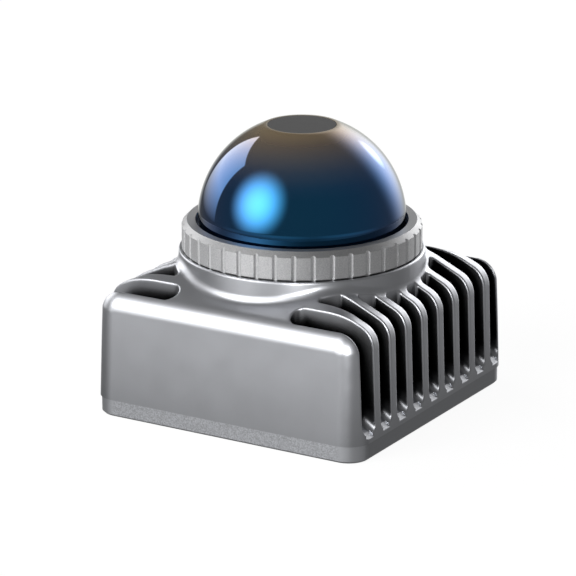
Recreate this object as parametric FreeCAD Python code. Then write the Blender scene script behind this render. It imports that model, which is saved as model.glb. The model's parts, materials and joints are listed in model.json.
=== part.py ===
"""Compact dome lidar sensor: finned cast housing, fluted lock ring, coated dome and the scanner inside.

Millimetres, +Z up. The origin is the centre of the base plate's underside. The plain front face looks
towards -Y, the cooling slots are in the +X and -X flanks, and the plug socket is on the rear face, +Y.
"""
import FreeCAD, Part
import math
import os

V = FreeCAD.Vector
ORIGIN = V(0, 0, 0)
UP = V(0, 0, 1)
RIGHT = V(1, 0, 0)
REAR = V(0, 1, 0)
FULL_TURN = 360.0
QUARTER_TURN = 90.0
HEX_SIDES = 6

# Fits
SLIP = 0.05
TOUCH = 0.001
SCREW_SLIP = 0.1
RUNNING_SLIP = 0.03

# Base plate
BASE_HALF = 32.1
BASE_CORNER_R = 4.7
BASE_EDGE = 0.45
SEAM_Z = 3.75
SPIGOT_TOP_Z = 6.5
MOUNT_SPACING = 30.0
MOUNT_HOLE_R = 1.25
MOUNT_HOLE_DEPTH = 5.0
MOUNT_DRILL_TIP = 0.5

# Base plate screws and seal
BASE_SCREW_X = 16.0
BASE_SCREW_Y = 27.0
BASE_SCREW_R = 1.2
BASE_SCREW_HEAD_R = 2.3
BASE_SCREW_SINK = 0.1
BASE_SCREW_LENGTH = 10.0
BASE_SCREW_SOCKET_R = 0.85
BASE_SCREW_SOCKET_DEPTH = 0.9
BASE_SEAL_IN_R = 25.2
BASE_SEAL_OUT_R = 26.4
BASE_SEAL_DEPTH = 0.8

# Housing: crossed profiles with drafted walls, round shoulders and a four-sided roof
HOUSING_HALF = 32.4
WALL_DRAFT = math.radians(1.9)
SHOULDER_R = 5.0
SHOULDER_Z = 22.9
ROOF_ANGLE = math.radians(24.5)
CORNER_R = 5.0
SHOULDER_CORNER_R = 4.6
HIP_R = 20.0
ROOF_TOP_Z = 34.0
CAVITY_R = 24.0
SHELF_Z = 29.0
BORE_R = 20.5

# Neck between roof and lock ring
NECK_R = 26.0
NECK_DRAFT = math.radians(4)
NECK_TOP_Z = 33.45
NECK_EDGE = 0.2
FLARE_R = 2.1
COLLAR_R = 23.55
COLLAR_TOP_Z = 35.0

# Cooling slots
SLOT_COUNT = 9
SLOT_PITCH = 6.8
SLOT_WIDTH = 4.4
SLOT_END_R = 30.0
SLOT_END_X = 26.35
SLOT_END_CORNER_R = 0.7
SLOT_ROUND_END_X = 13.8
SLOT_FLOOR_Z = 5.3
SLOT_RAMP = math.radians(33)
SLOT_FLOOR_R = 1.5
SLOT_LIP_SLOPE = math.radians(52)
SLOT_LIP_DEPTH = 1.0
SLOT_LIP_HALF = 1.2
SLOT_OVERRUN = 4.0
SLOT_RIM_R = 0.35
END_SLOT_RIM_R = 0.2

# Dome window, its seal and the disc on its top
DOME_R = 22.06
DOME_WALL = 1.6
DOME_CENTRE_Z = 39.4
DOME_TOP_Z = 60.0
FLANGE_R = 23.4
FLANGE_Z = 35.6
FLANGE_TOP_Z = 37.2
SEAL_IN_R = 21.4
CAP_R = 7.22
CAP_THICK = 0.5

# Lock ring
RING_PANEL_R = 25.4
RING_GROOVE_R = 0.62
RING_GROOVE_DEPTH = 0.4
RING_GROOVE_COUNT = 40
RING_PANEL_Z = 33.8
RING_FOOT_R = 25.05
RING_EDGE_Z = 38.5
RING_TOP_Z = 39.6
RING_TOP_R = 24.3
RING_LIP_R = 22.5

# Plug socket on the rear face
PLUG_Z = 15.2
PLUG_SEAT_Y = 31.5
PLUG_SEAT_R = 8.2
PLUG_POCKET_HALF = 9.5
PLUG_POCKET_Y = 28.8
PLUG_POCKET_FROM_Y = 18.0
PLUG_POCKET_Z = 7.0
PLUG_POCKET_TOP_Z = 24.5
PLUG_SEAL_IN_R = 5.8
PLUG_SEAL_OUT_R = 7.4
PLUG_SEAL_THICK = 0.8
PLUG_FLANGE_R = 7.8
PLUG_FLANGE_THICK = 1.2
PLUG_THREAD_R = 6.0
PLUG_THREAD_LENGTH = 8.0
PLUG_STUB_R = 5.4
PLUG_STUB_Y = 24.5
PLUG_BORE_R = 4.3
PLUG_STEP_R = 3.7
PLUG_STEP_Y = 28.0
PLUG_KEY = 0.8
PLUG_NUT_R = 7.4
PLUG_NUT_THICK = 3.0
INSERT_FACE_Y = 35.5
INSERT_TAIL_Y = 24.0
PIN_R = 0.38
PIN_FRONT_Y = 39.5
PIN_BACK_Y = 22.5
PIN_OUTER_COUNT = 9
PIN_OUTER_R = 2.9
PIN_INNER_COUNT = 3
PIN_INNER_R = 1.15

# Boards and chips
BOARD_R = 22.3
BOARD_Z = 9.4
BOARD_THICK = 1.6
BOARD_TOP_Z = BOARD_Z + BOARD_THICK
BOARD_POST_X = 17.4
BOARD_POST_Y = 7.6
BOARD_POST_R = 2.2
BOARD_SCREW_R = 0.9
BOARD_SCREW_HEAD_R = 1.8
BOARD_SCREW_HEAD = 1.2
BOARD_SCREW_TIP_Z = 5.2
CHIP_HALF = 7.0
CHIP_THICK = 1.4
PAD_HALF = 6.5
INTERFACE_CHIP_HALF = 4.0
INTERFACE_CHIP_THICK = 1.2
INTERFACE_CHIP_X = -14.0
PLUG_BOARD_HALF = 7.0
PLUG_BOARD_Y = 21.5
PLUG_BOARD_Z = 11.4
PLUG_BOARD_TOP_Z = 19.4
BOARD_PLUG_HALF = 5.0
BOARD_PLUG_DEPTH = 3.2
BOARD_PLUG_TOP_Z = 15.0

# Transmitter and receiver on the board
BARREL_R = 6.5
BARREL_BORE_R = 4.6
BARREL_SEAT_R = 5.2
BARREL_SEAT_Z = 17.0
BARREL_TOP_Z = 18.6
WEB_HALF = 1.2
WEB_Z = 13.6
WEB_THICK = 0.8
FOLD_HALF = 1.2
LENS_EDGE = 0.6
LENS_RISE = 1.2
DETECTOR_HALF = 2.0
DETECTOR_THICK = 1.0
BEAM_Z = WEB_Z + WEB_THICK + FOLD_HALF
BEAM_HOLE_R = 1.15
LASER_NOSE_R = 1.0
LASER_NOSE_X = 5.6
LASER_X = 7.6
LASER_LENGTH = 10.0
LASER_HALF = 3.2
LASER_TOP_Z = 18.4

# Bench that carries the scanner
BENCH_R = 23.6
BENCH_THICK = 2.5
BENCH_Z = SHELF_Z - BENCH_THICK
BENCH_SCREW_COUNT = 4
BENCH_SCREW_START = 45.0
BENCH_SCREW_RADIUS = 22.2
BENCH_SCREW_R = 0.9
BENCH_SCREW_HEAD_R = 1.6
BENCH_SCREW_HEAD = 1.4
BENCH_SCREW_TIP_Z = 32.0
WIRE_HOLE_R = 2.2
WIRE_HOLE_Y = 18.0
TUBE_R = 8.2
TUBE_SEAT_R = 9.4
TUBE_Z = 22.0
TUBE_TOP_Z = 36.6
TUBE_RELIEF_R = 5.0
STATOR_Z = 30.5

# Bearings, shaft and motor
BEARING_OUT_R = 6.0
BEARING_IN_R = 4.0
BEARING_WIDTH = 3.5
SHAFT_R = BEARING_IN_R - RUNNING_SLIP
SHAFT_BORE_R = 3.0
SHAFT_Z = 20.0
SHAFT_COLLAR_R = 6.0
SHAFT_COLLAR_Z = 38.5
SHAFT_TOP_Z = 40.0
STATOR_THICK = 4.5
STATOR_HUB_R = 10.0
STATOR_R = 14.9
STATOR_SHOE_R = 13.6
STATOR_SHOE_ANGLE = 30.0
TOOTH_COUNT = 9
TOOTH_WIDTH = 2.2
COIL_IN_R = 10.4
COIL_OUT_R = 13.1
COIL_BUILD = 0.9
MAGNET_COUNT = 12
MAGNET_IN_R = 15.3
MAGNET_ANGLE = 27.0
MAGNET_Z = 30.0
MAGNET_TOP_Z = 36.0
BELL_R = 18.0
BELL_IN_R = 16.8
BELL_Z = 29.6
BELL_ROOF_Z = 37.2
BELL_HUB_R = 6.5
BELL_HUB_Z = 36.8

# Encoder
ENCODER_R = 11.0
ENCODER_Z = 20.3
ENCODER_THICK = 0.6
ENCODER_HUB_R = 5.6
ENCODER_HUB_TOP_Z = 21.8
READER_OUT_X = 14.0
READER_IN_X = 8.0
READER_JAW_X = 12.0
READER_HALF = 2.0
READER_Z = 18.6
READER_GAP = 0.4

# Scan mirror and its holder
HOLDER_R = 12.5
HOLDER_THICK = 1.6
HOLDER_TOP_Z = SHAFT_TOP_Z + HOLDER_THICK
MIRROR_Z = 47.5
MIRROR_HALF_LENGTH = 9.0
MIRROR_HALF_WIDTH = 6.5
MIRROR_THICK = 1.5
HOLDER_BACK = 1.6
HOLDER_CHEEK = 1.5
HOLDER_REAR_X = -9.4
HOLDER_TOE_X = -3.0
WEIGHT_IN_R = 9.6
WEIGHT_ANGLE = 60.0
WEIGHT_TOP_Z = 43.4


def line(a, b):
    """Straight edge between two points."""
    return Part.LineSegment(a, b).toShape()


def arc(a, middle, b):
    """Round edge through three points."""
    return Part.Arc(a, middle, b).toShape()


def outline(points):
    """Flat face inside a closed run of straight edges."""
    return Part.Face(Part.makePolygon(points + points[:1]))


def section(points):
    """Flat face in the XZ plane from (x, z) pairs."""
    return outline([V(x, 0, z) for x, z in points])


def turned(points):
    """Solid of revolution about Z from (radius, z) pairs."""
    return section(points).revolve(ORIGIN, UP, FULL_TURN)


def disc(radius, low, high, x=0.0, y=0.0):
    """Upright cylinder between two heights."""
    return Part.makeCylinder(radius, high - low, V(x, y, low))


def tube(outer, inner, low, high):
    """Upright tube between two heights."""
    return disc(outer, low, high).cut(disc(inner, low, high))


def rod(radius, near, far, z):
    """Cylinder along Y between two depths, at a height."""
    return Part.makeCylinder(radius, far - near, V(0, near, z), REAR)


def block(x, y, z):
    """Box between pairs of limits."""
    return Part.makeBox(x[1] - x[0], y[1] - y[0], z[1] - z[0], V(x[0], y[0], z[0]))


def slab(points, half_width):
    """Plate of even thickness about the XZ plane, from (x, z) pairs."""
    face = section(points)
    face.translate(REAR * (-half_width))
    return face.extrude(REAR * (2 * half_width))


def sector(outer, inner, low, high, angle):
    """Piece of a ring, centred on the +X axis."""
    piece = Part.makeCylinder(outer, high - low, V(0, 0, low), UP, angle)
    piece = piece.cut(disc(inner, low, high))
    piece.rotate(ORIGIN, UP, -angle / 2)
    return piece


def turned_about(shape, degrees):
    """Copy of a shape, turned about the upright axis."""
    copy = shape.copy()
    copy.rotate(ORIGIN, UP, degrees)
    return copy


def around(shape, count, start=0.0):
    """Evenly spaced copies of a shape about the upright axis."""
    return [turned_about(shape, start + FULL_TURN * number / count) for number in range(count)]


def four_corners(shape, x, y):
    """Copies of a shape moved to the four corners of a rectangle."""
    copies = []
    for side_x in (-x, x):
        for side_y in (-y, y):
            copy = shape.copy()
            copy.translate(V(side_x, side_y, 0))
            copies.append(copy)
    return copies


def group(shapes):
    """Several separate solids kept together."""
    return Part.makeCompound(shapes)


def middle_of(edge):
    """Point half way along an edge."""
    return edge.valueAt((edge.FirstParameter + edge.LastParameter) / 2)


def is_upright(edge):
    """Tells whether a straight edge runs along Z."""
    return abs(edge.tangentAt(edge.FirstParameter).z) > math.cos(math.pi / 4)


def base_plate():
    """Square plate with a round spigot, board posts, tapped mounting holes and countersunk screw holes."""
    plate = block((-BASE_HALF, BASE_HALF), (-BASE_HALF, BASE_HALF), (0, SEAM_Z))
    plate = plate.makeFillet(BASE_CORNER_R, [edge for edge in plate.Edges if is_upright(edge)])
    lower = [edge for edge in plate.Edges if edge.BoundBox.ZMax < SEAM_Z / 2]
    plate = plate.makeChamfer(BASE_EDGE, lower)
    plate = plate.fuse(disc(CAVITY_R - SLIP, SEAM_Z, SPIGOT_TOP_Z))
    plate = plate.fuse(four_corners(disc(BOARD_POST_R, SPIGOT_TOP_Z, BOARD_Z), BOARD_POST_X, BOARD_POST_Y))
    tip = Part.makeCone(MOUNT_HOLE_R, 0, MOUNT_DRILL_TIP, V(0, 0, MOUNT_HOLE_DEPTH))
    mount_hole = disc(MOUNT_HOLE_R, 0, MOUNT_HOLE_DEPTH).fuse(tip)
    holes = four_corners(mount_hole, MOUNT_SPACING / 2, MOUNT_SPACING / 2)
    holes += four_corners(base_screw_hole(), BASE_SCREW_X, BASE_SCREW_Y)
    post_hole = disc(BOARD_SCREW_R + SCREW_SLIP, BOARD_SCREW_TIP_Z - SCREW_SLIP, BOARD_Z)
    holes += four_corners(post_hole, BOARD_POST_X, BOARD_POST_Y)
    holes.append(tube(BASE_SEAL_OUT_R, BASE_SEAL_IN_R, SEAM_Z - BASE_SEAL_DEPTH, SEAM_Z))
    return plate.cut(group(holes)).removeSplitter()


def base_seal():
    """Square-section ring in the base plate's groove."""
    return tube(BASE_SEAL_OUT_R - SLIP, BASE_SEAL_IN_R + SLIP, SEAM_Z - BASE_SEAL_DEPTH, SEAM_Z)


def base_screw_hole():
    """Countersunk through hole in the base plate."""
    shank_r = BASE_SCREW_R + SCREW_SLIP
    cone_top = BASE_SCREW_SINK + BASE_SCREW_HEAD_R - shank_r
    return turned([
        (0, 0), (BASE_SCREW_HEAD_R, 0), (BASE_SCREW_HEAD_R, BASE_SCREW_SINK), (shank_r, cone_top),
        (shank_r, SEAM_Z), (0, SEAM_Z)])


def base_screws():
    """Countersunk screws that hold the base plate from below."""
    cone_top = BASE_SCREW_SINK + BASE_SCREW_HEAD_R - BASE_SCREW_R
    screw = turned([
        (0, BASE_SCREW_SINK), (BASE_SCREW_HEAD_R, BASE_SCREW_SINK), (BASE_SCREW_R, cone_top),
        (BASE_SCREW_R, BASE_SCREW_LENGTH), (0, BASE_SCREW_LENGTH)])
    socket = hexagon(BASE_SCREW_SOCKET_R).extrude(UP * BASE_SCREW_SOCKET_DEPTH)
    socket.translate(UP * BASE_SCREW_SINK)
    return group(four_corners(screw.cut(socket), BASE_SCREW_X, BASE_SCREW_Y))


def hexagon(radius):
    """Flat six-sided face in the XY plane."""
    corner = V(radius, 0, 0)
    turns = [FreeCAD.Rotation(UP, FULL_TURN * number / HEX_SIDES) for number in range(HEX_SIDES)]
    return outline([turn.multVec(corner) for turn in turns])


def shoulder_centre_x():
    """Distance from the axis to the centre of the shoulder's round."""
    touch_z = SHOULDER_Z + SHOULDER_R * math.sin(WALL_DRAFT)
    wall_x = HOUSING_HALF - (touch_z - SEAM_Z) * math.tan(WALL_DRAFT)
    return wall_x - SHOULDER_R * math.cos(WALL_DRAFT)


def shoulder_point(angle):
    """Point (x, z) on the shoulder's round, the angle counted up from the wall side."""
    x = shoulder_centre_x() + SHOULDER_R * math.cos(angle)
    return x, SHOULDER_Z + SHOULDER_R * math.sin(angle)


def roof_z(x):
    """Height of a roof face at a distance from the axis."""
    edge_x, edge_z = shoulder_point(math.pi / 2 - ROOF_ANGLE)
    return edge_z + (edge_x - x) * math.tan(ROOF_ANGLE)


def roof_flat_half():
    """Half width of the roof where the neck's top cuts it."""
    edge_x, edge_z = shoulder_point(math.pi / 2 - ROOF_ANGLE)
    return edge_x - (ROOF_TOP_Z - edge_z) / math.tan(ROOF_ANGLE)


def cross_profile():
    """Section of the housing through both walls, shoulders and roof faces."""
    roof_angle = math.pi / 2 - ROOF_ANGLE
    angles = (WALL_DRAFT, (WALL_DRAFT + roof_angle) / 2, roof_angle)
    wall, middle, roof = [shoulder_point(angle) for angle in angles]
    flat = roof_flat_half()
    right = [V(x, 0, z) for x, z in ((HOUSING_HALF, SEAM_Z), wall, middle, roof, (flat, ROOF_TOP_Z))]
    left = [V(-point.x, 0, point.z) for point in right]
    edges = [line(left[0], right[0])]
    for foot, low, mid, high, top in (right, left):
        edges += [line(foot, low), arc(low, mid, high), line(high, top)]
    edges.append(line(right[-1], left[-1]))
    return Part.Face(Part.Wire(Part.__sortEdges__(edges)))


def rounded_edges(shape, rows):
    """Shape with some of its numbered edges rounded, each from one radius to another."""
    document = FreeCAD.newDocument("rounds")
    sharp = document.addObject("Part::Feature", "sharp")
    sharp.Shape = shape
    rounded = document.addObject("Part::Fillet", "rounded")
    rounded.Base = sharp
    rounded.Edges = rows
    document.recompute()
    return rounded.Shape.Solids[0]


def rounded_block():
    """Crossed profiles with their corners rounded from the seam over the shoulders and up the hips."""
    reach = 3 * HOUSING_HALF
    along_y = cross_profile().extrude(REAR * reach)
    along_y.translate(REAR * (-reach / 2))
    crossed = along_y.common(turned_about(along_y, QUARTER_TURN)).Solids[0]
    hip_low = shoulder_point(math.pi / 2 - ROOF_ANGLE)[1]
    rows = []
    for number, edge in enumerate(crossed.Edges, start=1):
        middle = middle_of(edge)
        on_corner = abs(abs(middle.x) - abs(middle.y)) < SLIP and abs(middle.x) > roof_flat_half()
        if not on_corner:
            continue
        low = CORNER_R if middle.z < SHOULDER_Z else SHOULDER_CORNER_R
        high = HIP_R if middle.z > hip_low else SHOULDER_CORNER_R
        rising = edge.valueAt(edge.FirstParameter).z < edge.valueAt(edge.LastParameter).z
        rows.append((number, low, high) if rising else (number, high, low))
    return rounded_edges(crossed, rows)


def neck_r(z):
    """Radius of the drafted neck at a height."""
    return NECK_R + (NECK_TOP_Z - z) * math.tan(NECK_DRAFT)


def flared_block():
    """Rounded block with a tall round neck that flares into the roof all round."""
    high = COLLAR_TOP_Z + FLARE_R
    neck = Part.makeCone(neck_r(SHOULDER_Z), neck_r(high), high - SHOULDER_Z, UP * SHOULDER_Z)
    tall = rounded_block().fuse(neck).removeSplitter()
    foot = []
    for edge in tall.Edges:
        points = edge.discretize(5)
        on_neck = all(abs(math.hypot(point.x, point.y) - neck_r(point.z)) < SLIP for point in points)
        if on_neck and not is_upright(edge) and middle_of(edge).z < COLLAR_TOP_Z:
            foot.append(edge)
    return tall.makeFillet(FLARE_R, foot)


def ledge_space():
    """Space above the neck's ledge and round its threaded collar."""
    reach = 2 * HOUSING_HALF
    return [tube(reach, COLLAR_R, NECK_TOP_Z, reach), disc(reach, COLLAR_TOP_Z, reach)]


def necked_block():
    """Flared block cut down to the ledge that carries the ring and to the collar, its outer edge broken."""
    stepped = flared_block().cut(group(ledge_space())).removeSplitter()
    rim = []
    for edge in stepped.Edges:
        points = edge.discretize(5)
        on_ledge = all(abs(point.z - NECK_TOP_Z) < SLIP for point in points)
        if on_ledge and all(math.hypot(point.x, point.y) > NECK_R - SLIP for point in points):
            rim.append(edge)
    return stepped.makeChamfer(NECK_EDGE, rim)


def slot_trough(y):
    """Space above a slot's sloping floor, with rounded lower corners."""
    half = SLOT_WIDTH / 2
    height = 2 * HOUSING_HALF
    inward = V(-math.cos(SLOT_RAMP), 0, math.sin(SLOT_RAMP))
    normal = V(math.sin(SLOT_RAMP), 0, math.cos(SLOT_RAMP))
    start = V(HOUSING_HALF, y, SLOT_FLOOR_Z) - inward * SLOT_OVERRUN
    bend = SLOT_FLOOR_R * (1 - math.cos(math.pi / 4))

    def at(across, high):
        return start + REAR * across + normal * high

    edges = [
        line(at(-half, height), at(-half, SLOT_FLOOR_R)),
        arc(at(-half, SLOT_FLOOR_R), at(bend - half, bend), at(SLOT_FLOOR_R - half, 0)),
        line(at(SLOT_FLOOR_R - half, 0), at(half - SLOT_FLOOR_R, 0)),
        arc(at(half - SLOT_FLOOR_R, 0), at(half - bend, bend), at(half, SLOT_FLOOR_R)),
        line(at(half, SLOT_FLOOR_R), at(half, height)),
        line(at(half, height), at(-half, height))]
    return Part.Face(Part.Wire(edges)).extrude(inward * height).fuse(slot_lip(y))


def slot_lip(y):
    """Steeper lip that leads a slot's floor out through the wall."""
    inner = V(HOUSING_HALF - SLOT_LIP_DEPTH, y - SLOT_LIP_HALF, 0)
    inner.z = SLOT_FLOOR_Z + SLOT_LIP_DEPTH * math.tan(SLOT_RAMP)
    outer = inner + V(SLOT_OVERRUN, 0, -SLOT_OVERRUN * math.tan(SLOT_LIP_SLOPE))
    above = V(outer.x, outer.y, inner.z)
    return outline([inner, outer, above]).extrude(REAR * (2 * SLOT_LIP_HALF))


def slot_plan(y, end_slot):
    """Upright column over a slot's plan, with a round inner end or an end on an arc round the neck."""
    half = SLOT_WIDTH / 2
    height = 2 * HOUSING_HALF
    reach = HOUSING_HALF + SLOT_OVERRUN
    if end_slot:
        column = block((SLOT_ROUND_END_X + half, reach), (y - half, y + half), (0, height))
        return column.fuse(disc(half, 0, height, SLOT_ROUND_END_X + half, y)).removeSplitter()
    column = block((0, reach), (y - half, y + half), (0, height))
    end_x = SLOT_END_X - SLOT_END_R
    column = column.cut(disc(SLOT_END_R, 0, height, end_x)).Solids[0]
    inner = []
    for edge in column.Edges:
        middle = middle_of(edge)
        if is_upright(edge) and abs(math.hypot(middle.x - end_x, middle.y) - SLOT_END_R) < SLIP:
            inner.append(edge)
    return column.makeFillet(SLOT_END_CORNER_R, inner)


def slots():
    """All the cooling slots of both flanks, each with the radius of its rim."""
    cutters = []
    for number in range(SLOT_COUNT):
        y = (number - (SLOT_COUNT - 1) / 2) * SLOT_PITCH
        end_slot = number in (0, SLOT_COUNT - 1)
        cutter = slot_plan(y, end_slot).common(slot_trough(y)).Solids[0]
        rim_r = END_SLOT_RIM_R if end_slot else SLOT_RIM_R
        cutters += [(cutter, rim_r), (cutter.mirror(ORIGIN, RIGHT), rim_r)]
    return cutters


def is_rim(edge, whole, cutter):
    """Tells whether an edge of the slotted block runs where a slot breaks through the block's skin."""
    middle = middle_of(edge)
    near = cutter.BoundBox
    near.enlarge(SLIP)
    if not near.isInside(middle) or cutter.isInside(middle, TOUCH, False):
        return False
    return cutter.isInside(middle, TOUCH, True) and not whole.isInside(middle, TOUCH, False)


def slotted_block():
    """Necked block with all the slots cut in and the whole rim of each slot rounded."""
    whole = necked_block()
    cutters = slots()
    cut = whole.cut(group([cutter for cutter, rim_r in cutters]))
    rows = []
    for number, edge in enumerate(cut.Edges, start=1):
        rows += [(number, rim_r, rim_r) for cutter, rim_r in cutters if is_rim(edge, whole, cutter)]
    return rounded_edges(cut, rows)


def housing():
    """Cast housing: rounded block with a flared neck, slots, cavity, socket seat and screw holes."""
    cuts = [disc(CAVITY_R, SEAM_Z, SHELF_Z)]
    cuts.append(disc(BORE_R, SHELF_Z, COLLAR_TOP_Z))
    cuts.append(block((-PLUG_POCKET_HALF, PLUG_POCKET_HALF), (PLUG_POCKET_FROM_Y, PLUG_POCKET_Y),
                      (PLUG_POCKET_Z, PLUG_POCKET_TOP_Z)))
    cuts.append(rod(PLUG_SEAT_R, PLUG_SEAT_Y, 2 * HOUSING_HALF, PLUG_Z))
    cuts.append(rod(PLUG_STUB_R + SCREW_SLIP, PLUG_POCKET_FROM_Y, 2 * HOUSING_HALF, PLUG_Z))
    screw_hole = disc(BASE_SCREW_R + SCREW_SLIP, SEAM_Z, BASE_SCREW_LENGTH + 2 * SCREW_SLIP)
    cuts += four_corners(screw_hole, BASE_SCREW_X, BASE_SCREW_Y)
    bench_hole = disc(BENCH_SCREW_R + SCREW_SLIP, SHELF_Z, BENCH_SCREW_TIP_Z + SCREW_SLIP, BENCH_SCREW_RADIUS)
    cuts += around(bench_hole, BENCH_SCREW_COUNT, BENCH_SCREW_START)
    return slotted_block().cut(group(cuts)).removeSplitter()


def dome_window():
    """Coated dome with a clamping flange and a shallow seat for the disc on its flat top."""
    inner_r = DOME_R - DOME_WALL
    seat_z = DOME_TOP_Z - CAP_THICK
    ceiling_z = seat_z - DOME_WALL

    def on_dome(radius, z):
        return V(math.sqrt(radius ** 2 - (z - DOME_CENTRE_Z) ** 2), 0, z)

    def half_way(radius, z):
        angle = math.asin((z - DOME_CENTRE_Z) / radius) / 2
        return V(radius * math.cos(angle), 0, DOME_CENTRE_Z + radius * math.sin(angle))

    rim = on_dome(DOME_R, DOME_TOP_Z)
    ceiling = on_dome(inner_r, ceiling_z)
    seat_r = CAP_R + SLIP
    outside = [V(inner_r, 0, FLANGE_Z), V(FLANGE_R, 0, FLANGE_Z), V(FLANGE_R, 0, FLANGE_TOP_Z),
               V(DOME_R, 0, FLANGE_TOP_Z), V(DOME_R, 0, DOME_CENTRE_Z)]
    top = [rim, V(seat_r, 0, DOME_TOP_Z), V(seat_r, 0, seat_z), V(0, 0, seat_z), V(0, 0, ceiling_z), ceiling]
    edges = [line(a, b) for a, b in zip(outside, outside[1:])]
    edges.append(arc(outside[-1], half_way(DOME_R, DOME_TOP_Z), rim))
    edges += [line(a, b) for a, b in zip(top, top[1:])]
    inner_foot = V(inner_r, 0, DOME_CENTRE_Z)
    edges.append(arc(ceiling, half_way(inner_r, ceiling_z), inner_foot))
    edges.append(line(inner_foot, outside[0]))
    return Part.Face(Part.Wire(edges)).revolve(ORIGIN, UP, FULL_TURN)


def dome_cap_disc():
    """Dark disc let into the flat top of the dome."""
    return disc(CAP_R, DOME_TOP_Z - CAP_THICK, DOME_TOP_Z)


def dome_seal():
    """Flat ring seal between the neck's collar and the dome's flange."""
    return tube(FLANGE_R, SEAL_IN_R, COLLAR_TOP_Z, FLANGE_Z)


def grip_groove():
    """Half-round groove in the +X side of the lock ring, open at both ends."""
    return disc(RING_GROOVE_R, NECK_TOP_Z, RING_TOP_Z, RING_PANEL_R + RING_GROOVE_R - RING_GROOVE_DEPTH)


def lock_ring():
    """Ring screwed on the collar: lip over the dome's flange, panels between half-round grip grooves."""
    bore_r = COLLAR_R + SLIP
    body = turned([
        (bore_r, NECK_TOP_Z), (RING_FOOT_R, NECK_TOP_Z), (RING_PANEL_R, RING_PANEL_Z),
        (RING_PANEL_R, RING_EDGE_Z), (RING_TOP_R, RING_TOP_Z), (RING_LIP_R, RING_TOP_Z),
        (RING_LIP_R, FLANGE_TOP_Z), (bore_r, FLANGE_TOP_Z)])
    return body.cut(group(around(grip_groove(), RING_GROOVE_COUNT))).removeSplitter()


def connector_shell():
    """Threaded shell of the plug socket, keyed inside, with a flange outside the rear wall."""
    flange_y = PLUG_SEAT_Y + PLUG_SEAL_THICK
    thread_y = flange_y + PLUG_FLANGE_THICK
    end_y = thread_y + PLUG_THREAD_LENGTH
    shell = rod(PLUG_STUB_R, PLUG_STUB_Y, flange_y, PLUG_Z)
    shell = shell.fuse(rod(PLUG_FLANGE_R, flange_y, thread_y, PLUG_Z))
    shell = shell.fuse(rod(PLUG_THREAD_R, thread_y, end_y, PLUG_Z))
    shell = shell.cut(rod(PLUG_BORE_R, PLUG_STEP_Y, end_y, PLUG_Z))
    shell = shell.cut(rod(PLUG_STEP_R, PLUG_STUB_Y, PLUG_STEP_Y, PLUG_Z))
    key = block((-PLUG_KEY / 2, PLUG_KEY / 2), (INSERT_FACE_Y, end_y - PLUG_KEY),
                (PLUG_Z + PLUG_BORE_R - PLUG_KEY, PLUG_Z + PLUG_BORE_R + PLUG_KEY))
    return shell.fuse(key).removeSplitter()


def pins_at(near, far):
    """Contact pins in an inner and an outer circle."""
    pins = []
    for count, radius in ((PIN_OUTER_COUNT, PIN_OUTER_R), (PIN_INNER_COUNT, PIN_INNER_R)):
        for number in range(count):
            angle = math.pi / 2 + math.pi * (2 * number + 1) / count
            foot = V(radius * math.cos(angle), near, PLUG_Z + radius * math.sin(angle))
            pins.append(Part.makeCylinder(PIN_R, far - near, foot, REAR))
    return pins


def connector_insert():
    """Insulating body that holds the contact pins."""
    insert = rod(PLUG_BORE_R - SLIP, PLUG_STEP_Y, INSERT_FACE_Y, PLUG_Z)
    insert = insert.fuse(rod(PLUG_STEP_R - SLIP, INSERT_TAIL_Y, PLUG_STEP_Y, PLUG_Z))
    return insert.cut(group(pins_at(INSERT_TAIL_Y, INSERT_FACE_Y)))


def connector_pins():
    """Contact pins, moulded into the insert and soldered to the small board."""
    return group(pins_at(PIN_BACK_Y, PIN_FRONT_Y))


def connector_seal():
    """Flat ring seal under the socket's flange."""
    far = PLUG_SEAT_Y + PLUG_SEAL_THICK
    return rod(PLUG_SEAL_OUT_R, PLUG_SEAT_Y, far, PLUG_Z).cut(rod(PLUG_SEAL_IN_R, PLUG_SEAT_Y, far, PLUG_Z))


def connector_nut():
    """Hexagon nut that clamps the socket from inside the rear wall."""
    nut = hexagon(PLUG_NUT_R).extrude(UP * PLUG_NUT_THICK)
    nut.rotate(ORIGIN, RIGHT, QUARTER_TURN)
    nut.translate(V(0, PLUG_POCKET_Y, PLUG_Z))
    return nut.cut(rod(PLUG_STUB_R + SLIP, PLUG_POCKET_FROM_Y, PLUG_POCKET_Y, PLUG_Z))


def connector_board():
    """Small upright board that the contact pins are soldered to."""
    return block((-PLUG_BOARD_HALF, PLUG_BOARD_HALF), (PLUG_BOARD_Y, PIN_BACK_Y),
                 (PLUG_BOARD_Z, PLUG_BOARD_TOP_Z))


def board_plug():
    """Angled board connector between the main board and the small board."""
    return block((-BOARD_PLUG_HALF, BOARD_PLUG_HALF), (PLUG_BOARD_Y - BOARD_PLUG_DEPTH, PLUG_BOARD_Y),
                 (BOARD_TOP_Z, BOARD_PLUG_TOP_Z))


def main_board():
    """Round circuit board on the base plate's posts."""
    board = disc(BOARD_R, BOARD_Z, BOARD_TOP_Z)
    hole = disc(BOARD_SCREW_R + SCREW_SLIP, BOARD_Z, BOARD_TOP_Z)
    return board.cut(group(four_corners(hole, BOARD_POST_X, BOARD_POST_Y)))


def board_screws():
    """Screws that hold the main board on its posts."""
    screw = disc(BOARD_SCREW_R, BOARD_SCREW_TIP_Z, BOARD_TOP_Z)
    screw = screw.fuse(disc(BOARD_SCREW_HEAD_R, BOARD_TOP_Z, BOARD_TOP_Z + BOARD_SCREW_HEAD))
    return group(four_corners(screw, BOARD_POST_X, BOARD_POST_Y))


def main_chip():
    """Processor on the underside of the main board."""
    return block((-CHIP_HALF, CHIP_HALF), (-CHIP_HALF, CHIP_HALF), (BOARD_Z - CHIP_THICK, BOARD_Z))


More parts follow.
